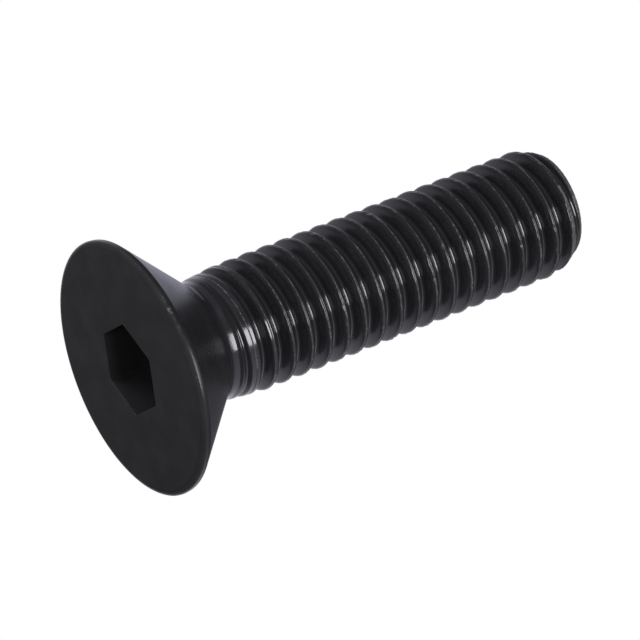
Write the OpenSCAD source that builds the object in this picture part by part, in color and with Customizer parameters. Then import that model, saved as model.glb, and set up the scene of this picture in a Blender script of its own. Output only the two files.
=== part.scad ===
// Metric countersunk screw with a hexagon socket, one piece of steel, threaded up to its head.
// It stands on the flat face of its head. The origin is the centre of that face,
// and +Z runs along the screw to the tip of its thread. Sizes are in millimetres.

/* [Head] */
// Diameter over the rim
head_d = 15.4; // [13:0.1:17]
// Width of the rounding between the flat face and the cone, seen on the face
rim_w = 0.5; // [0.1:0.05:0.8]
// Height of that rounding, up to the widest place of the head
rim_h = 0.3; // [0.1:0.05:0.8]
// Height of the narrow straight band between the rounding and the cone
rim_land = 0.2; // [0.05:0.05:0.6]
// Full angle of the countersunk cone
cone_angle = 90; // [82:1:100]
// Radius of the fillet between the cone and the neck
neck_fillet_r = 0.4; // [0.2:0.1:0.8]
// Length of the plain neck between the fillet and the thread
neck_plain = 0.7; // [0.1:0.05:1]

/* [Socket] */
// Width across the flats of the hexagon
hex_flats = 5; // [3:0.1:5.5]
// Depth of the flat walls
hex_depth = 3.4; // [2:0.1:3.6]
// Full angle of the drilled point below the flat walls
drill_angle = 120; // [118:1:140]
// How far the drilled point stays inside the flats, on each side
drill_inset = 0.05; // [0.02:0.01:0.3]

/* [Thread] */
// Length of the whole screw, head included
screw_length = 29.75; // [16:0.05:40]
// Nominal diameter
thread_d = 8; // [7:0.1:8.5]
// How far the crests stay below the nominal diameter
crest_allowance = 0.2; // [0.03:0.01:0.24]
// Rise of one turn, right-handed
pitch = 1.25; // [1:0.05:1.5]
// Full angle of the groove between two ridges
thread_angle = 60; // [55:1:60]
// Length over which the ridges grow from the neck to their full height
runout = 2.1; // [1:0.1:4]
// Height at which a crest crosses the +X side, within one turn
thread_start = 0.08; // [0:0.01:1]

/* [Tip] */
// How much smaller the flat end is than the nominal diameter
tip_reduction = 1.4; // [0.8:0.1:2.4]
// Angle between the chamfer and the axis
tip_angle = 30; // [25:1:60]

/* [Hidden] */
$fn = 96;

// Thread form: flanks of the basic profile, rounded off at the root, cut back at the crest
nominal_r = thread_d / 2;
crest_cut = crest_allowance / 2;
crest_r = nominal_r - crest_cut;
sharp_height = pitch / (2 * tan(thread_angle / 2));
root_r = nominal_r - sharp_height * 17 / 24;
crest_w = pitch / 8 + 2 * crest_cut * tan(thread_angle / 2);
flank_w = (crest_r - root_r) * tan(thread_angle / 2);
root_w = pitch - crest_w - 2 * flank_w;
crest_mid = root_w + flank_w + crest_w / 2;

// The neck is the bar that the thread was rolled on, just under the pitch diameter
neck_under = 0.02;
neck_r = nominal_r - sharp_height * 3 / 8 - neck_under;
head_r = head_d / 2;
half_cone = cone_angle / 2;
cone_top = rim_h + rim_land + (head_r - neck_r) / tan(half_cone);
fillet_top = cone_top + neck_fillet_r * tan(half_cone / 2);
rim_steps = 6;
fillet_steps = 6;
neck_top = fillet_top + neck_plain;

// A cutter starts this far outside the face that it opens
cut_over = 1;
drill_r = hex_flats / 2 - drill_inset;

// The threaded rod starts a little inside the neck, and the tip is cut to its form
rod_sink = 0.3;
rod_inset = 0.02;
rod_r = neck_r - rod_inset;
rod_bottom = neck_top - rod_sink;
rod_top = screw_length + pitch / 2;
tip_r = nominal_r - tip_reduction / 2;
clear_r = crest_r + cut_over;
chamfer_start = screw_length - (clear_r - tip_r) / tan(tip_angle);

// The helix is a strip of quads, with so many steps a turn
turn_steps = 40;
turns_below = ceil((thread_start - crest_mid - rod_bottom + pitch) / pitch);
helix_start = thread_start - crest_mid - pitch * turns_below;
turns = ceil((rod_top - helix_start) / pitch);

// Height and radius of the corners of one ridge, over one pitch
ridge = [
    [0, root_r],
    [root_w, root_r],
    [root_w + flank_w, crest_r],
    [root_w + flank_w + crest_w, crest_r],
    [pitch, root_r]
];
corners = len(ridge) - 1;

function raw_z(step, corner) = helix_start + pitch * step / turn_steps + ridge[corner][0];
function over_root(step, z) = z - helix_start - pitch * (step % turn_steps) / turn_steps;
function within_turn(z) = z - pitch * floor(z / pitch);
function growth(z) = min(1, max(0, (z - neck_top) / runout));
function grown_r(z, r) = rod_r + growth(z) * (r - rod_r);
function ridge_r(step, z) = grown_r(z, lookup(within_turn(over_root(step, z)), ridge));
function on_circle(step, r, z) = [
    r * cos(360 * step / turn_steps),
    r * sin(360 * step / turn_steps),
    z
];
function ring(z) = [for (step = [0:turn_steps - 1]) on_circle(step, ridge_r(step, z), z)];

// Points come as the bottom ring, the top ring, the two cap centres, then the helix
bottom_centre = 2 * turn_steps;
top_centre = bottom_centre + 1;
helix_first = top_centre + 1;
function vertex(step, corner) =
    corner == corners ? vertex(step + turn_steps, 0) :
    raw_z(step, corner) <= rod_bottom ? step % turn_steps :
    raw_z(step, corner) >= rod_top ? turn_steps + step % turn_steps :
    helix_first + step * corners + corner;
function has_area(f) = f[0] != f[1] && f[1] != f[2] && f[2] != f[0];

module head() {
    rotate_extrude()
        polygon(concat(
            [[0, 0]],
            [
                for (k = [0:rim_steps])
                    let (a = 90 * k / rim_steps)
                        [
                            head_r - rim_w * (1 - sin(a)),
                            rim_h * (1 - cos(a))
                        ]
            ],
            [[head_r, rim_h + rim_land]],
            [
                for (k = [0:fillet_steps])
                    let (a = half_cone * (1 - k / fillet_steps))
                        [
                            neck_r + neck_fillet_r * (1 - cos(a)),
                            fillet_top - neck_fillet_r * sin(a)
                        ]
            ],
            [[neck_r, neck_top], [0, neck_top]]
        ));
}

module threaded_rod() {
    helix = [
        for (step = [0:(turns + 1) * turn_steps], corner = [0:corners - 1])
            let (z = raw_z(step, corner))
                on_circle(step, grown_r(z, ridge[corner][1]), z)
    ];
    sides = [
        for (step = [0:turns * turn_steps - 1], corner = [0:corners - 1])
            let (
                a = vertex(step, corner),
                b = vertex(step, corner + 1),
                c = vertex(step + 1, corner + 1),
                d = vertex(step + 1, corner)
            )
                each [[a, b, c], [a, c, d]]
    ];
    caps = [
        for (step = [0:turn_steps - 1])
            let (next = (step + 1) % turn_steps)
                each [
                    [bottom_centre, step, next],
                    [top_centre, turn_steps + next, turn_steps + step]
                ]
    ];
    polyhedron(
        points = concat(
            ring(rod_bottom),
            ring(rod_top),
            [[0, 0, rod_bottom], [0, 0, rod_top]],
            helix
        ),
        faces = concat([for (f = sides) if (has_area(f)) f], caps)
    );
}

module shank() {
    intersection() {
        threaded_rod();
        rotate_extrude()
            polygon([
                [0, rod_bottom - cut_over],
                [clear_r, rod_bottom - cut_over],
                [clear_r, chamfer_start],
                [tip_r, screw_length],
                [0, screw_length]
            ]);
    }
}

module socket() {
    translate([0, 0, -cut_over])
        cylinder(d = hex_flats / cos(30), h = hex_depth + cut_over, $fn = 6);
    translate([0, 0, hex_depth])
        cylinder(r1 = drill_r, r2 = 0, h = drill_r / tan(drill_angle / 2));
}

module screw() {
    color("#2b2b2d")
        difference() {
            union() {
                head();
                shank();
            }
            socket();
        }
}

screw();
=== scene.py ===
import math

import bpy
import numpy as np
from mathutils import Matrix, Vector


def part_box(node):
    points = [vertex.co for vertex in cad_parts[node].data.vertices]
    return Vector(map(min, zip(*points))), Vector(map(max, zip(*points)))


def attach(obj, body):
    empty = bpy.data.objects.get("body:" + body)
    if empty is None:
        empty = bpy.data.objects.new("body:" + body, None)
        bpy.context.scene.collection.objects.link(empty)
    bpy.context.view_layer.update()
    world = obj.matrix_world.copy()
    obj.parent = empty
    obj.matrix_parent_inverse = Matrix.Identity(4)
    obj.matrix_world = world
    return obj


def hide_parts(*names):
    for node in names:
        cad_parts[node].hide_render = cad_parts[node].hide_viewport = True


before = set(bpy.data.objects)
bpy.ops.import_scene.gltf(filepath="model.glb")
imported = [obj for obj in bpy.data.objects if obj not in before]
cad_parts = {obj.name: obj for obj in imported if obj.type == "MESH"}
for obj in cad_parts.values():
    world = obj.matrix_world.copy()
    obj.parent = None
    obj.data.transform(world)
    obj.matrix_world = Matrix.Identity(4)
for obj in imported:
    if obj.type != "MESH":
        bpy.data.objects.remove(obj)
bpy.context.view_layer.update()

# Sizes of the screw, in millimetres. The flat face of its head is at height 0, and its tip is up
MM = 0.001
box_low, box_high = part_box("screw")
HEAD_R = (box_high.x - box_low.x) / 2 / MM
LENGTH = box_high.z / MM

# Head: rounded rim, a narrow band with a slight draft, the cone, a fillet and the plain neck
RIM_W = 0.5
RIM_H = 0.3
RIM_LAND = 0.2
LAND_DRAFT = 0.02
CONE_EDGE_R = 0.06
HALF_CONE = math.radians(45)
NECK_FILLET_R = 0.4
NECK_PLAIN = 0.7
# Thread rolling has pushed the neck out, between these heights over the fillet
NECK_SWELL = 0.11
SWELL_SPAN = (0.34, 0.7)

# Socket
HEX_FLATS = 5.0
HEX_DEPTH = 3.4
HEX_CORNER_R = 0.12
MOUTH_EDGE_R = 0.03
DRILL_R = 2.45
DRILL_HALF_ANGLE = math.radians(60)
DRILL_TOP = HEX_DEPTH + DRILL_R / math.tan(DRILL_HALF_ANGLE)

# Thread, of the basic 60 degree form. The neck is the bar it was rolled on
NOMINAL_R = 4.0
CREST_R = 3.9
PITCH = 1.25
HALF_GROOVE = math.radians(30)
SHARP_HEIGHT = PITCH / (2 * math.tan(HALF_GROOVE))
NECK_UNDER = 0.02
NECK_R = NOMINAL_R - SHARP_HEIGHT * 3 / 8 - NECK_UNDER
RUNOUT = 2.1
THREAD_START = 0.08

# A rolled thread is round at its crest and in its groove, with straight flanks between
CREST_ROUND = NOMINAL_R + SHARP_HEIGHT / 8 - CREST_R
ROOT_R = NOMINAL_R - SHARP_HEIGHT * 17 / 24
ROOT_ROUND = SHARP_HEIGHT / 5.1

# How far handling has worn the crest down, along the whole helix. Few places are worn deep
WORN_DEEPEST = 0.06
WORN_RARITY = 6
WEAR_SEED = 8
WEAR_TURNS = 30
WEAR_STEP = math.radians(3)
WEAR_ANGLES = np.arange(0, 2 * math.pi * WEAR_TURNS, WEAR_STEP)
WEAR_DEPTHS = WORN_DEEPEST * np.random.default_rng(WEAR_SEED).random(len(WEAR_ANGLES)) ** WORN_RARITY

# Tip: a chamfer cut slightly off the axis, with small waves round it that lean with the height
TIP_R = 3.22
TIP_ANGLE = math.radians(30)
TIP_OFF_CENTRE = 0.1
TIP_OFF_ANGLE = math.radians(-148)
TIP_RAGGED = 0.006
TIP_WAVES = ((41, 3), (67, -5))

CONE_TOP = RIM_H + RIM_LAND + (HEAD_R - NECK_R) / math.tan(HALF_CONE)
FILLET_TOP = CONE_TOP + NECK_FILLET_R * math.tan(HALF_CONE / 2)
NECK_TOP = FILLET_TOP + NECK_PLAIN

# Mesh density: points round the screw, then the tilts and shares at which a section has points
TURN_STEPS = 180
STEP_ANGLE = 2 * math.pi / TURN_STEPS
ANGLES = np.arange(TURN_STEPS) * STEP_ANGLE
DRILL_SHARES = (0.04, 0.35, 0.7, 0.97)
WALL_SHARES = (0.99, 0.6, 0.3)
MOUTH_TILTS = (0, 30, 60, 90)
FACE_SHARES = (0.02, 0.2, 0.4, 0.6, 0.8, 0.985)
RIM_TILTS = (0, 5, 10, 18, 27, 36, 45, 54, 63, 72, 80)
CONE_EDGE_TILTS = (0, 15, 30, 45)
CONE_SHARES = (0.03, 0.2, 0.4, 0.6, 0.8, 0.97)
FILLET_TILTS = (45, 36, 27, 18, 9, 0)
NECK_HEIGHTS = (0.12, 0.34, 0.38, 0.42, 0.46, 0.5, 0.54, 0.58, 0.62, 0.66)
GROOVE_TILTS = (0, 15, 30, 45, 60)
CREST_TILTS = (-60, -42, -28, -19, -10, 0, 10, 24, 42, 60)
LOWER_FLANK_SHARES = (0.35, 0.7)
UPPER_FLANK_SHARE = 0.5
TIP_INSETS = (0.04, 0.2, 1.5)
# Small steps beside a sharp turn, which keep the shading of the flat next to it flat
FLOOR_STEP = 0.02
MOUTH_STEP = 0.05
LAND_STEP = 0.01
# Thread points this near to the neck or the tip fall on its ring
NEAR = 1e-6

# Marks on the mesh: how far a point is an edge, and how much rubbing has bared it there
PLAIN = (0, 0)
CREST = (1, 0.35)
FLANK = (0.05, 0.6)
MOUTH = (0.3, 0)
TIP = (1, 0.3)
RUBBED_CREST_TILTS = (-10, 0)

# Where the rim is rubbed, in degrees round the head, and from which tilt of its rounding on
RIM_SPOTS = (-81, -75, -66, 40, 150)
RIM_SPOT_REACH = 2.2
RIM_SPOT_RUBBING = 0.55
FAINT_RIM_MIDDLES = (-62,)
FAINT_RIM_REACH = 20
FAINT_RIM_RUBBING = 0.25
UNRUBBED = 0.1
RUBBED_RIM_TILT = 54
# The face's finish goes up to this tilt of the rim's rounding
FACE_END_TILT = 10

HEAD_FINISH, THREAD_FINISH, SOCKET_FINISH, FACE_FINISH, RIM_FINISH, TIP_FINISH = range(6)


def nearness(middles, reach):
    """How near each angle of a ring is to the nearest of some middles, in degrees, from 0 to 1."""
    turned = np.cos(ANGLES[:, None] - np.radians(middles)[None, :])
    return np.exp((turned - 1) * 2 / math.radians(reach) ** 2).max(axis=1)


def rim_marks():
    """Marks round the rim, which is rubbed in a few spots and faintly between some of them."""
    spots = RIM_SPOT_RUBBING * nearness(RIM_SPOTS, RIM_SPOT_REACH)
    faint = FAINT_RIM_RUBBING * nearness(FAINT_RIM_MIDDLES, FAINT_RIM_REACH)
    return [(1, amount - UNRUBBED) for amount in np.maximum(spots, faint)]


def crest_point(tilt):
    """Height and radius on the rounded crest where its surface is tilted by so many degrees."""
    turn = math.radians(tilt)
    return CREST_ROUND * math.sin(turn), CREST_R - CREST_ROUND * (1 - math.cos(turn))


def groove_point(side, tilt):
    """Height and radius in the rounded groove below (-1) or above (1) the crest, at a tilt."""
    turn = math.radians(tilt)
    return side * PITCH / 2 - ROOT_ROUND * math.sin(turn), ROOT_R + ROOT_ROUND * (1 - math.cos(turn))


def part_way(start, end, share):
    """The point at a share of the way from one point to another."""
    return tuple(a + (b - a) * share for a, b in zip(start, end))


def ridge_section():
    """One ridge from groove to groove: heights, radii, and a mark for each point."""
    lower = [(groove_point(-1, -tilt), PLAIN) for tilt in GROOVE_TILTS]
    crest = [(crest_point(tilt), CREST if tilt in RUBBED_CREST_TILTS else PLAIN) for tilt in CREST_TILTS]
    upper = [(groove_point(1, tilt), PLAIN) for tilt in reversed(GROOVE_TILTS)]
    lower_flank = [(part_way(lower[-1][0], crest[0][0], share), FLANK) for share in LOWER_FLANK_SHARES]
    upper_flank = [(part_way(crest[-1][0], upper[0][0], UPPER_FLANK_SHARE), FLANK)]
    points, marks = zip(*lower, *lower_flank, *crest, *upper_flank, *upper)
    heights, radii = zip(*points)
    return np.array(heights), np.array(radii), marks


SECTION_Z, SECTION_R, SECTION_MARKS = ridge_section()


def form_radius(angle, height):
    """Radius of the full thread form at an angle and a height, with its crest slightly worn."""
    over_crest = height - THREAD_START - PITCH * angle / (2 * math.pi)
    turns_up = np.round(over_crest / PITCH)
    over_crest = over_crest - PITCH * turns_up
    worn = np.interp(turns_up * 2 * math.pi + angle, WEAR_ANGLES, WEAR_DEPTHS)
    return np.minimum(np.interp(over_crest, SECTION_Z, SECTION_R), CREST_R - worn)


def cut_form(form, height):
    """The rolled form with its run-out at the neck."""
    grown = np.clip((height - NECK_TOP) / RUNOUT, 0, 1)
    rolled = form + (1 - grown) * (NECK_R - ROOT_R)
    swell = NECK_R + NECK_SWELL + grown * (CREST_R - NECK_R - NECK_SWELL)
    return np.minimum(rolled, swell)


def chamfer_radius(angle, height):
    """Radius of the tip's chamfer, off its centre and ragged."""
    off = TIP_OFF_CENTRE * np.cos(angle - TIP_OFF_ANGLE)
    ragged = TIP_RAGGED * sum(np.sin(waves * angle + lean * height) for waves, lean in TIP_WAVES)
    return TIP_R + (LENGTH - height) * math.tan(TIP_ANGLE) + off + ragged


def thread_radius(angle, height):
    """Radius of the finished thread, with its run-out and its chamfer."""
    return np.minimum(cut_form(form_radius(angle, height), height), chamfer_radius(angle, height))


def hexagon_radius(angle):
    """Radius of the socket's wall, with its corners slightly rounded."""
    sector = math.pi / 3
    from_flat = (angle + sector / 2) % sector - sector / 2
    wall = HEX_FLATS / 2 / np.cos(sector / 2 - np.abs(from_flat))
    corner = HEX_FLATS / math.sqrt(3) - HEX_CORNER_R * (2 / math.sqrt(3) - 1)
    return np.minimum(wall, corner)


class ShellBuilder:
    """Collects the points, marks, faces and finishes of one closed shell."""

    def __init__(self):
        self.points = []
        self.marks = []
        self.faces = []
        self.finishes = []

    def add_points(self, radius, angle, height, marks):
        """Adds points round the axis, and gives the number of the first one."""
        first = len(self.points)
        for r, a, z, mark in zip(radius, angle, height, marks):
            self.points.append((r * math.cos(a) * MM, r * math.sin(a) * MM, z * MM))
            self.marks.append(mark)
        return first

    def add_centre(self, height):
        """One point on the axis, given as a ring that has closed to it."""
        return np.full(TURN_STEPS, self.add_points([0], [0], [height], [PLAIN]))

    def add_ring(self, radius, height, mark):
        """A level ring. The radius and the mark are the same all round, or a list of them."""
        marks = mark if isinstance(mark, list) else [mark] * TURN_STEPS
        radii = radius + np.zeros(TURN_STEPS)
        return self.add_points(radii, ANGLES, np.full(TURN_STEPS, height), marks) + np.arange(TURN_STEPS)

    def add_face(self, corners, finish):
        """A face, with corners that fall together taken as one, and none where it has no area."""
        apart = list(dict.fromkeys(int(corner) for corner in corners))
        if len(apart) > 2:
            self.faces.append(apart)
            self.finishes.append(finish)

    def join(self, inner, outer, finish):
        """The band of faces between two rings."""
        for k in range(TURN_STEPS):
            following = (k + 1) % TURN_STEPS
            self.add_face((inner[k], outer[k], outer[following], inner[following]), finish)


def socket_rings():
    """Rings (radius, height, mark, finish) from the drilled point up to the mouth of the socket."""
    wall = hexagon_radius(ANGLES)
    rings = []
    for share in DRILL_SHARES:
        rings.append((DRILL_R * share, DRILL_TOP + (HEX_DEPTH - DRILL_TOP) * share, PLAIN, SOCKET_FINISH))
    rings.append((DRILL_R, HEX_DEPTH, PLAIN, SOCKET_FINISH))
    rings.append((wall - FLOOR_STEP, HEX_DEPTH, PLAIN, SOCKET_FINISH))
    for share in WALL_SHARES:
        rings.append((wall, HEX_DEPTH * share, PLAIN, SOCKET_FINISH))
    rings.append((wall, MOUTH_EDGE_R + MOUTH_STEP, PLAIN, SOCKET_FINISH))
    for tilt in MOUTH_TILTS:
        turn = math.radians(tilt)
        out = MOUTH_EDGE_R * (1 - math.cos(turn))
        rings.append((wall + out, MOUTH_EDGE_R * (1 - math.sin(turn)), MOUTH, FACE_FINISH))
    return rings


def face_rings():
    """Rings from the mouth of the socket over the flat face and round the rim."""
    mouth = hexagon_radius(ANGLES) + MOUTH_EDGE_R
    face_out = HEAD_R - RIM_W
    rings = [(mouth + (face_out - mouth) * share, 0.0, PLAIN, FACE_FINISH) for share in FACE_SHARES]
    for tilt in RIM_TILTS:
        turn = math.radians(tilt)
        marks = rim_marks() if tilt >= RUBBED_RIM_TILT else PLAIN
        finish = FACE_FINISH if tilt <= FACE_END_TILT else RIM_FINISH
        rings.append((face_out + RIM_W * math.sin(turn), RIM_H * (1 - math.cos(turn)), marks, finish))
    return rings


def cone_rings():
    """Rings from the rim up the cone, through the fillet and over the swollen neck."""
    rings = [(HEAD_R, RIM_H + LAND_STEP, PLAIN, HEAD_FINISH)]
    land_out = HEAD_R - LAND_DRAFT
    land_top = RIM_H + RIM_LAND - CONE_EDGE_R * math.tan(HALF_CONE / 2)
    for tilt in CONE_EDGE_TILTS:
        turn = math.radians(tilt)
        radius = land_out - CONE_EDGE_R * (1 - math.cos(turn))
        rings.append((radius, land_top + CONE_EDGE_R * math.sin(turn), PLAIN, HEAD_FINISH))
    cone_out = land_out - CONE_EDGE_R * (1 - math.cos(HALF_CONE))
    cone_low = land_top + CONE_EDGE_R * math.sin(HALF_CONE)
    fillet_out = NECK_R + NECK_FILLET_R * (1 - math.cos(HALF_CONE))
    fillet_low = FILLET_TOP - NECK_FILLET_R * math.sin(HALF_CONE)
    for share in CONE_SHARES:
        radius = cone_out + (fillet_out - cone_out) * share
        rings.append((radius, cone_low + (fillet_low - cone_low) * share, PLAIN, HEAD_FINISH))
    for tilt in FILLET_TILTS:
        turn = math.radians(tilt)
        radius = NECK_R + NECK_FILLET_R * (1 - math.cos(turn))
        rings.append((radius, FILLET_TOP - NECK_FILLET_R * math.sin(turn), PLAIN, THREAD_FINISH))
    for above in NECK_HEIGHTS:
        share = min(1, max(0, (above - SWELL_SPAN[0]) / (SWELL_SPAN[1] - SWELL_SPAN[0])))
        radius = NECK_R + NECK_SWELL * share ** 2 * (3 - 2 * share)
        rings.append((radius, FILLET_TOP + above, PLAIN, THREAD_FINISH))
    return rings


def next_row(values):
    """The same values one row on. After the last row comes the first one, a turn later."""
    return np.concatenate([values[:, 1:], np.roll(values[:, :1], -TURN_STEPS, axis=0)], axis=1)


def add_thread(shell, neck_ring, tip_ring):
    """The thread is a strip that climbs one pitch a turn, cut off at the neck and at the tip."""
    offsets = SECTION_Z[:-1]
    rows = len(offsets)
    turns_below = math.ceil((THREAD_START + offsets[0] - NECK_TOP + PITCH) / PITCH)
    start = THREAD_START - PITCH * turns_below
    turns = math.ceil((LENGTH - start - offsets[0]) / PITCH)

    step, row = np.meshgrid(np.arange((turns + 1) * TURN_STEPS + 1), np.arange(rows), indexing="ij")
    angle = step * STEP_ANGLE
    height = start + PITCH * step / TURN_STEPS + offsets[row]
    kept = (height > NECK_TOP + NEAR) & (height < LENGTH - NEAR)
    uncut = cut_form(form_radius(angle, height), height)
    chamfered = (chamfer_radius(angle, height) < uncut) | (height >= LENGTH)
    marks = [TIP if cut else SECTION_MARKS[j] for j, cut in zip(row[kept], chamfered[kept])]
    first = shell.add_points(thread_radius(angle, height)[kept], angle[kept], height[kept], marks)

    around = step % TURN_STEPS
    index = np.where(height <= NECK_TOP + NEAR, neck_ring[around], tip_ring[around])
    index[kept] = first + np.arange(kept.sum())
    beyond = next_row(index)
    cut_beyond = next_row(chamfered)
    on_chamfer = chamfered[:-1] & cut_beyond[:-1] & cut_beyond[1:] & chamfered[1:]
    for k in range(turns * TURN_STEPS):
        for j in range(rows):
            finish = TIP_FINISH if on_chamfer[k, j] else THREAD_FINISH
            shell.add_face((index[k, j], beyond[k, j], beyond[k + 1, j], index[k + 1, j]), finish)


def build_screw():
    """The whole screw as one closed mesh, from the bottom of its socket to the middle of its tip."""
    shell = ShellBuilder()
    before = shell.add_centre(DRILL_TOP)
    for radius, height, mark, finish in socket_rings() + face_rings() + cone_rings():
        ring = shell.add_ring(radius, height, mark)
        shell.join(before, ring, finish)
        before = ring

    neck_ring = shell.add_ring(thread_radius(ANGLES, NECK_TOP), NECK_TOP, PLAIN)
    shell.join(before, neck_ring, THREAD_FINISH)
    tip_radius = thread_radius(ANGLES, LENGTH)
    tip_ring = shell.add_ring(tip_radius, LENGTH, CREST)
    add_thread(shell, neck_ring, tip_ring)

    before = tip_ring
    for inset in TIP_INSETS:
        ring = shell.add_ring(tip_radius - inset, LENGTH, PLAIN)
        shell.join(before, ring, TIP_FINISH)
        before = ring
    shell.join(before, shell.add_centre(LENGTH), TIP_FINISH)

    mesh = bpy.data.meshes.new("blackened_screw")
    mesh.from_pydata(shell.points, [], shell.faces)
    mesh.polygons.foreach_set("material_index", shell.finishes)
    mesh.polygons.foreach_set("use_smooth", [True] * len(shell.faces))
    for name, values in zip(("edge", "rubbing"), zip(*shell.marks)):
        mesh.attributes.new(name, "FLOAT", "POINT").data.foreach_set("value", values)
    mesh.validate()
    piece = bpy.data.objects.new("blackened_screw", mesh)
    bpy.context.scene.collection.objects.link(piece)
    return piece


def node_group(name, inputs, outputs):
    """A shader node group with its named sockets, and its two end nodes."""
    tree = bpy.data.node_groups.new(name, "ShaderNodeTree")
    kinds = {"value": "NodeSocketFloat", "colour": "NodeSocketColor"}
    for socket, kind, default in inputs:
        made = tree.interface.new_socket(socket, in_out="INPUT", socket_type=kinds[kind])
        made.default_value = default
    for socket, kind in outputs:
        tree.interface.new_socket(socket, in_out="OUTPUT", socket_type=kinds[kind])
    return tree, tree.nodes.new("NodeGroupInput"), tree.nodes.new("NodeGroupOutput")


def feed(tree, value, socket):
    """Gives a socket its value: a number, a vector or a colour, or else another node's output."""
    if isinstance(value, (int, float, tuple, Vector)):
        socket.default_value = value
    else:
        tree.links.new(value, socket)


def math_node(tree, operation, first, second):
    """A Math node on two sockets or numbers, and its output."""
    node = tree.nodes.new("ShaderNodeMath")
    node.operation = operation
    feed(tree, first, node.inputs[0])
    feed(tree, second, node.inputs[1])
    return node.outputs[0]


def vector_node(tree, operation, first, second):
    """A Vector Math node on two sockets or vectors."""
    node = tree.nodes.new("ShaderNodeVectorMath")
    node.operation = operation
    feed(tree, first, node.inputs[0])
    feed(tree, second, node.inputs[1])
    return node


def noise_node(tree, scale, detail, roughness=0.5):
    """Noise over the screw's own space."""
    place = tree.nodes.new("ShaderNodeTexCoord")
    texture = tree.nodes.new("ShaderNodeTexNoise")
    feed(tree, place.outputs["Object"], texture.inputs["Vector"])
    feed(tree, scale, texture.inputs["Scale"])
    feed(tree, detail, texture.inputs["Detail"])
    feed(tree, roughness, texture.inputs["Roughness"])
    return texture.outputs["Fac"]


def span_node(tree, value, span, result=(0, 1), smooth=True):
    """Stretches a value so that the two ends of a span give the two results."""
    node = tree.nodes.new("ShaderNodeMapRange")
    node.interpolation_type = "SMOOTHSTEP" if smooth else "LINEAR"
    ends = ("From Min", span[0]), ("From Max", span[1]), ("To Min", result[0]), ("To Max", result[1])
    for name, end in ends:
        feed(tree, end, node.inputs[name])
    feed(tree, value, node.inputs["Value"])
    return node.outputs["Result"]


def mix_colours(tree, share, first, second):
    node = tree.nodes.new("ShaderNodeMix")
    node.data_type = "RGBA"
    feed(tree, share, node.inputs["Factor"])
    feed(tree, first, node.inputs["A"])
    feed(tree, second, node.inputs["B"])
    return node.outputs["Result"]


def mix_shaders(tree, share, first, second):
    node = tree.nodes.new("ShaderNodeMixShader")
    for slot, source in enumerate((share, first, second)):
        feed(tree, source, node.inputs[slot])
    return node.outputs[0]


# Noise scales are in waves a metre
CLOUD_SCALE = 500.0
CLOUD_SPAN = (0.3, 0.7)
SPECK_SCALE = 9000
SPECK_SPAN = (0.35, 0.7)
SPECK_SHARE = 0.3
DOT_SCALE = 6000.0
PATCH_SCALE = 700
PATCH_SHARE = 0.6
RUBBING_SHARE = 0.5
BROKEN_SPAN = (0.95, 1.2)
GRAIN_SCALE = 12000.0
GRAIN_SHARE = 0.5
WAVE_SCALE = 1200.0


def make_oxide_cloud():
    """Cloudy tone of the blackened skin, with fine dark and pale specks."""
    tree, given, result = node_group("oxide_cloud", [
        ("Deep Colour", "colour", (0.014, 0.014, 0.015, 1)),
        ("Pale Colour", "colour", (0.024, 0.024, 0.026, 1)),
        ("Cloud Scale", "value", CLOUD_SCALE),
    ], [("Color", "colour"), ("Cloud", "value")])
    cloud = span_node(tree, noise_node(tree, given.outputs["Cloud Scale"], detail=4), CLOUD_SPAN)
    specks = span_node(tree, noise_node(tree, SPECK_SCALE, detail=3, roughness=0.7), SPECK_SPAN)
    cloud_part = math_node(tree, "MULTIPLY", cloud, 1 - SPECK_SHARE)
    tone = math_node(tree, "ADD", cloud_part, math_node(tree, "MULTIPLY", specks, SPECK_SHARE))
    colour = mix_colours(tree, tone, given.outputs["Deep Colour"], given.outputs["Pale Colour"])
    feed(tree, colour, result.inputs["Color"])
    feed(tree, cloud, result.inputs["Cloud"])
    return tree


def make_edge_wear():
    """Where handling has rubbed the skin off the edges, in broken dots and dashes."""
    tree, given, result = node_group("edge_wear", [
        ("Edge", "value", 0.0),
        ("Amount", "value", 0.5),
        ("Dot Scale", "value", DOT_SCALE),
    ], [("Mask", "value"), ("Dulling", "value"), ("Height", "value")])
    edge, amount = given.outputs["Edge"], given.outputs["Amount"]
    dots = noise_node(tree, given.outputs["Dot Scale"], detail=3, roughness=0.65)
    patches = noise_node(tree, PATCH_SCALE, detail=2)
    level = math_node(tree, "ADD", dots, math_node(tree, "MULTIPLY", patches, PATCH_SHARE))
    level = math_node(tree, "ADD", level, math_node(tree, "MULTIPLY", amount, RUBBING_SHARE))
    broken = span_node(tree, level, BROKEN_SPAN)
    handled = math_node(tree, "MULTIPLY", edge, amount)
    feed(tree, math_node(tree, "MULTIPLY", broken, edge), result.inputs["Mask"])
    feed(tree, handled, result.inputs["Dulling"])
    feed(tree, math_node(tree, "MULTIPLY", dots, handled), result.inputs["Height"])
    return tree


def make_skin_grain():
    """Height of the skin: a fine crystal grain over slow waves left by the forming tools."""
    tree, given, result = node_group("skin_grain", [
        ("Grain Scale", "value", GRAIN_SCALE),
        ("Grain Share", "value", GRAIN_SHARE),
        ("Wave Scale", "value", WAVE_SCALE),
    ], [("Height", "value")])
    grain = noise_node(tree, given.outputs["Grain Scale"], detail=4, roughness=0.6)
    waves = noise_node(tree, given.outputs["Wave Scale"], detail=2)
    fine = math_node(tree, "MULTIPLY", grain, given.outputs["Grain Share"])
    feed(tree, math_node(tree, "ADD", fine, waves), result.inputs["Height"])
    return tree


def place_group(tree, group, **values):
    """Places a group, with its named inputs given as Name_Of_Input=value."""
    node = tree.nodes.new("ShaderNodeGroup")
    node.node_tree = group
    for name, value in values.items():
        feed(tree, value, node.inputs[name.replace("_", " ")])
    return node


def mark_value(tree, name):
    """One of the two marks that the mesh carries."""
    mark = tree.nodes.new("ShaderNodeAttribute")
    mark.attribute_name = name
    return mark.outputs["Fac"]


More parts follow.
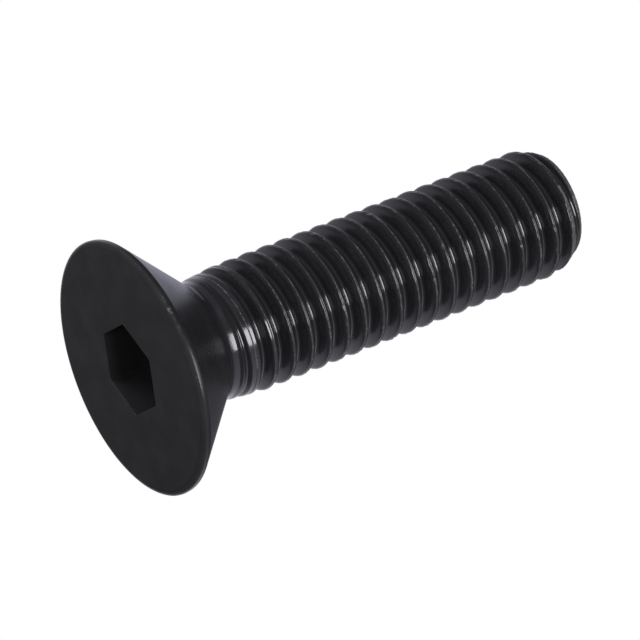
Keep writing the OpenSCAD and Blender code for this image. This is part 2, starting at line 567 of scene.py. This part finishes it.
OXIDE_CLOUD = make_oxide_cloud()
EDGE_WEAR = make_edge_wear()
SKIN_GRAIN = make_skin_grain()
COOL_TINT = (0.95, 0.94, 1.0, 1)
BARE_STEEL = (0.2, 0.2, 0.21, 1)
SCUFF_HEIGHT = 9.0

# The finishes in the order of their numbers above: name, deep colour, pale colour, roughness where
# smooth and where dull, how bare and how dull rubbing makes it, specular level, and depth of the
# grain in millimetres
FINISHES = (
    ("head_oxide", (0.006, 0.006, 0.0069), (0.009, 0.009, 0.0103),
     (0.24, 0.3), 0.6, 0.6, 0.25, 0.003),
    ("thread_oxide", (0.0062, 0.0062, 0.0069), (0.0082, 0.0082, 0.0091),
     (0.12, 0.18), 0.45, 1.7, 0.5, 0.0045),
    # The socket's oxide is paler than the thread's: painted light that lifts the shade inside the socket.
    ("socket_oxide_painted_light", (0.011, 0.011, 0.0121), (0.0128, 0.0128, 0.0141),
     (0.4, 0.5), 0.3, 0.6, 0.12, 0.006),
    ("face_oxide", (0.0147, 0.0147, 0.0158), (0.0193, 0.0193, 0.0208),
     (0.34, 0.42), 0.6, 0.6, 0.2, 0.004),
    # The rim's oxide is paler than the head's: painted light that keeps the rim's rounding from going dark
    # where little light reaches it.
    ("rim_oxide_painted_light", (0.0122, 0.0122, 0.0131), (0.0157, 0.0157, 0.017),
     (0.3, 0.37), 0.6, 0.6, 0.17, 0.004),
    ("tip_oxide", (0.03, 0.03, 0.033), (0.06, 0.06, 0.064),
     (0.6, 0.75), 0.6, 0.6, 0.2, 0.012),
)


def oxide_material(name, deep, pale, gloss, baring, dulling, specular, grain_depth):
    """Black oxide in one finish, bared and dulled where the mesh is marked as rubbed."""
    material = bpy.data.materials.new(name)
    material.use_nodes = True
    tree = material.node_tree
    shader = tree.nodes["Principled BSDF"]
    shader.inputs["Specular IOR Level"].default_value = specular
    shader.inputs["Specular Tint"].default_value = COOL_TINT

    cloud = place_group(tree, OXIDE_CLOUD, Deep_Colour=(*deep, 1), Pale_Colour=(*pale, 1))
    edge, rubbing = mark_value(tree, "edge"), mark_value(tree, "rubbing")
    rubbed = place_group(tree, EDGE_WEAR, Edge=edge, Amount=rubbing)
    bared = math_node(tree, "MULTIPLY", rubbed.outputs["Mask"], baring)
    feed(tree, mix_colours(tree, bared, cloud.outputs["Color"], BARE_STEEL), shader.inputs["Base Color"])
    feed(tree, bared, shader.inputs["Metallic"])

    clouded = span_node(tree, cloud.outputs["Cloud"], (0, 1), gloss, smooth=False)
    dulled = math_node(tree, "MULTIPLY", rubbed.outputs["Dulling"], dulling)
    feed(tree, math_node(tree, "ADD", clouded, dulled), shader.inputs["Roughness"])

    skin = place_group(tree, SKIN_GRAIN)
    scuffs = math_node(tree, "MULTIPLY", rubbed.outputs["Height"], SCUFF_HEIGHT)
    bump = tree.nodes.new("ShaderNodeBump")
    bump.inputs["Distance"].default_value = grain_depth * MM
    feed(tree, math_node(tree, "ADD", skin.outputs["Height"], scuffs), bump.inputs["Height"])
    feed(tree, bump.outputs["Normal"], shader.inputs["Normal"])
    return material


screw = build_screw()
for finish in FINISHES:
    screw.data.materials.append(oxide_material(*finish))
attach(screw, "root")
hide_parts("screw")

# Camera: below the head and in front, with the screw's axis rising to the right of the picture
VIEW_AZIMUTH = -58
VIEW_ELEVATION = -27.587
AXIS_SLOPE = math.radians(21.35)
VIEW_DISTANCE = 294.7
VIEW_TARGET = Vector((1.096, 0.687, 12.58))
FOCAL_PIXELS = 5075
FRAME_PIXELS = 640
SENSOR_WIDTH = 36
CLIP_START = 0.01


def direction(azimuth, elevation):
    """The way to an azimuth, 0 along +X, and an elevation, both in degrees."""
    a, e = math.radians(azimuth), math.radians(elevation)
    return Vector((math.cos(a) * math.cos(e), math.sin(a) * math.cos(e), math.sin(e)))


def add_camera():
    """The camera looks up at the head, turned so that the screw's axis has its slope in the picture."""
    forward = -direction(VIEW_AZIMUTH, VIEW_ELEVATION)
    axis_seen = (Vector((0, 0, 1)) - forward * forward.z).normalized()
    across = forward.cross(axis_seen)
    right = axis_seen * math.cos(AXIS_SLOPE) + across * math.sin(AXIS_SLOPE)
    up = right.cross(forward)
    turn = Matrix((right, up, -forward)).transposed()
    data = bpy.data.cameras.new("camera")
    data.sensor_width = SENSOR_WIDTH
    data.lens = FOCAL_PIXELS / FRAME_PIXELS * SENSOR_WIDTH
    data.clip_start = CLIP_START
    camera = bpy.data.objects.new("camera", data)
    place = (VIEW_TARGET - forward * VIEW_DISTANCE) * MM
    camera.matrix_world = Matrix.Translation(place) @ turn.to_4x4()
    bpy.context.scene.collection.objects.link(camera)
    bpy.context.scene.camera = camera


FLOOR_HALF = 3.0
FLOOR_DROP = -0.00002
FLOOR_PALE = (0.72, 0.73, 0.8, 1)
FLOOR_DARK = (0.2, 0.2, 0.22, 1)
FLOOR_DARK_SPAN = (-0.85, -0.25)


def add_floor():
    """A pale floor, clear from below. Gloss on the screw shows its front part darker."""
    mesh = bpy.data.meshes.new("floor")
    corners = [(-1, -1), (1, -1), (1, 1), (-1, 1)]
    mesh.from_pydata([(x * FLOOR_HALF, y * FLOOR_HALF, FLOOR_DROP) for x, y in corners], [], [(0, 1, 2, 3)])
    floor = bpy.data.objects.new("floor", mesh)
    bpy.context.scene.collection.objects.link(floor)
    material = bpy.data.materials.new("pale_floor")
    material.use_nodes = True
    tree = material.node_tree
    tree.nodes.clear()
    path = tree.nodes.new("ShaderNodeLightPath")
    place = tree.nodes.new("ShaderNodeTexCoord")
    outward = tree.nodes.new("ShaderNodeVectorMath")
    outward.operation = "NORMALIZE"
    feed(tree, place.outputs["Object"], outward.inputs[0])
    to_front = vector_node(tree, "DOT_PRODUCT", outward.outputs[0], direction(VIEW_AZIMUTH, 0))
    dark = span_node(tree, to_front.outputs["Value"], FLOOR_DARK_SPAN)
    dark = math_node(tree, "MULTIPLY", dark, path.outputs["Is Glossy Ray"])
    paint = tree.nodes.new("ShaderNodeBsdfDiffuse")
    feed(tree, mix_colours(tree, dark, FLOOR_PALE, FLOOR_DARK), paint.inputs["Color"])

    clear = tree.nodes.new("ShaderNodeBsdfTransparent")
    side = tree.nodes.new("ShaderNodeNewGeometry")
    seen = math_node(tree, "MAXIMUM", path.outputs["Is Glossy Ray"], path.outputs["Is Transmission Ray"])
    seen = math_node(tree, "MAXIMUM", path.outputs["Is Camera Ray"], seen)
    from_above = math_node(tree, "SUBTRACT", 1, side.outputs["Backfacing"])
    share = math_node(tree, "MULTIPLY", seen, from_above)
    output = tree.nodes.new("ShaderNodeOutputMaterial")
    feed(tree, mix_shaders(tree, share, clear.outputs[0], paint.outputs[0]), output.inputs["Surface"])
    mesh.materials.append(material)


# The room as gloss on the screw shows it: tone of its ceiling, and of two darker parts of its wall,
# with the elevations or the angles from their middles, in degrees, between which the tone fades
CEILING_TONE = 0.15
CEILING_EDGE = (25, 35)
FRONT_TONE = 0.2
FRONT_REACH = (30, 75)
FRONT_DIRECTION = direction(VIEW_AZIMUTH, -22)
SIDE_TONE = 0.35
SIDE_REACH = (20, 50)
SIDE_DIRECTION = direction(-142, 25)
WALL_TINT = (0.89, 0.88, 1.0)
ROOM_STRENGTH = 0.6
WHITE = (1, 1, 1, 1)


def dark_part(tree, outward, middle, reach, tone):
    """Tone of the room round one of its darker parts."""
    near = vector_node(tree, "DOT_PRODUCT", outward, middle)
    span = (math.cos(math.radians(reach[1])), math.cos(math.radians(reach[0])))
    return span_node(tree, near.outputs["Value"], span, (1, tone))


def add_world():
    """A plain soft room, white to the camera. It lights the screw evenly."""
    world = bpy.data.worlds.new("studio")
    bpy.context.scene.world = world
    world.use_nodes = True
    tree = world.node_tree
    tree.nodes.clear()
    outward = tree.nodes.new("ShaderNodeTexCoord").outputs["Generated"]
    height = tree.nodes.new("ShaderNodeSeparateXYZ")
    feed(tree, outward, height.inputs[0])
    edge = tuple(math.sin(math.radians(elevation)) for elevation in CEILING_EDGE)
    wall = span_node(tree, height.outputs["Z"], edge, (1, CEILING_TONE))
    front = dark_part(tree, outward, FRONT_DIRECTION, FRONT_REACH, FRONT_TONE)
    side = dark_part(tree, outward, SIDE_DIRECTION, SIDE_REACH, SIDE_TONE)
    tone = math_node(tree, "MULTIPLY", math_node(tree, "MULTIPLY", wall, front), side)
    tinted = tree.nodes.new("ShaderNodeVectorMath")
    tinted.operation = "SCALE"
    feed(tree, WALL_TINT, tinted.inputs[0])
    feed(tree, tone, tinted.inputs["Scale"])

    path = tree.nodes.new("ShaderNodeLightPath")
    shown = vector_node(tree, "MAXIMUM", tinted.outputs[0], path.outputs["Is Camera Ray"])
    seen_room = tree.nodes.new("ShaderNodeBackground")
    feed(tree, shown.outputs[0], seen_room.inputs["Color"])
    lighting_room = tree.nodes.new("ShaderNodeBackground")
    feed(tree, WHITE, lighting_room.inputs["Color"])
    feed(tree, ROOM_STRENGTH, lighting_room.inputs["Strength"])
    seen = math_node(tree, "MAXIMUM", path.outputs["Is Camera Ray"], path.outputs["Is Glossy Ray"])
    seen = math_node(tree, "MAXIMUM", seen, path.outputs["Is Transmission Ray"])
    output = tree.nodes.new("ShaderNodeOutputWorld")
    room = mix_shaders(tree, seen, lighting_room.outputs[0], seen_room.outputs[0])
    feed(tree, room, output.inputs["Surface"])


MID_LENGTH = (0, 0, 12)
FACE_CENTRE = (0, 0, 0)
COOL_LIGHT = (0.81, 0.81, 1)


def add_lamp(name, azimuth, elevation, distance, size, power, target, glints=True, colour=(1, 1, 1)):
    """A flat soft lamp at an azimuth and elevation from its target, in metres and watts."""
    data = bpy.data.lights.new(name, "AREA")
    data.shape = "RECTANGLE"
    data.size, data.size_y = size
    data.energy = power
    data.color = colour
    lamp = bpy.data.objects.new(name, data)
    out = direction(azimuth, elevation)
    lamp.location = Vector(target) * MM + out * distance
    lamp.rotation_euler = out.to_track_quat("Z", "Y").to_euler()
    lamp.visible_camera = False
    lamp.visible_glossy = glints
    bpy.context.scene.collection.objects.link(lamp)


add_camera()
add_floor()
add_world()
add_lamp("key", -37, 7.5, 0.6, (0.31, 0.39), 5.3, MID_LENGTH)
add_lamp("low_fill", -75, -71, 0.16, (0.1, 0.1), 0.14, FACE_CENTRE, glints=False)
add_lamp("left_fill", -148, -22, 0.06, (0.03, 0.03), 0.04, FACE_CENTRE, glints=False)
add_lamp("rear_panel", 152, 46, 0.6, (0.55, 0.3), 0.33, MID_LENGTH, colour=COOL_LIGHT)

bpy.context.scene.view_settings.view_transform = "Standard"
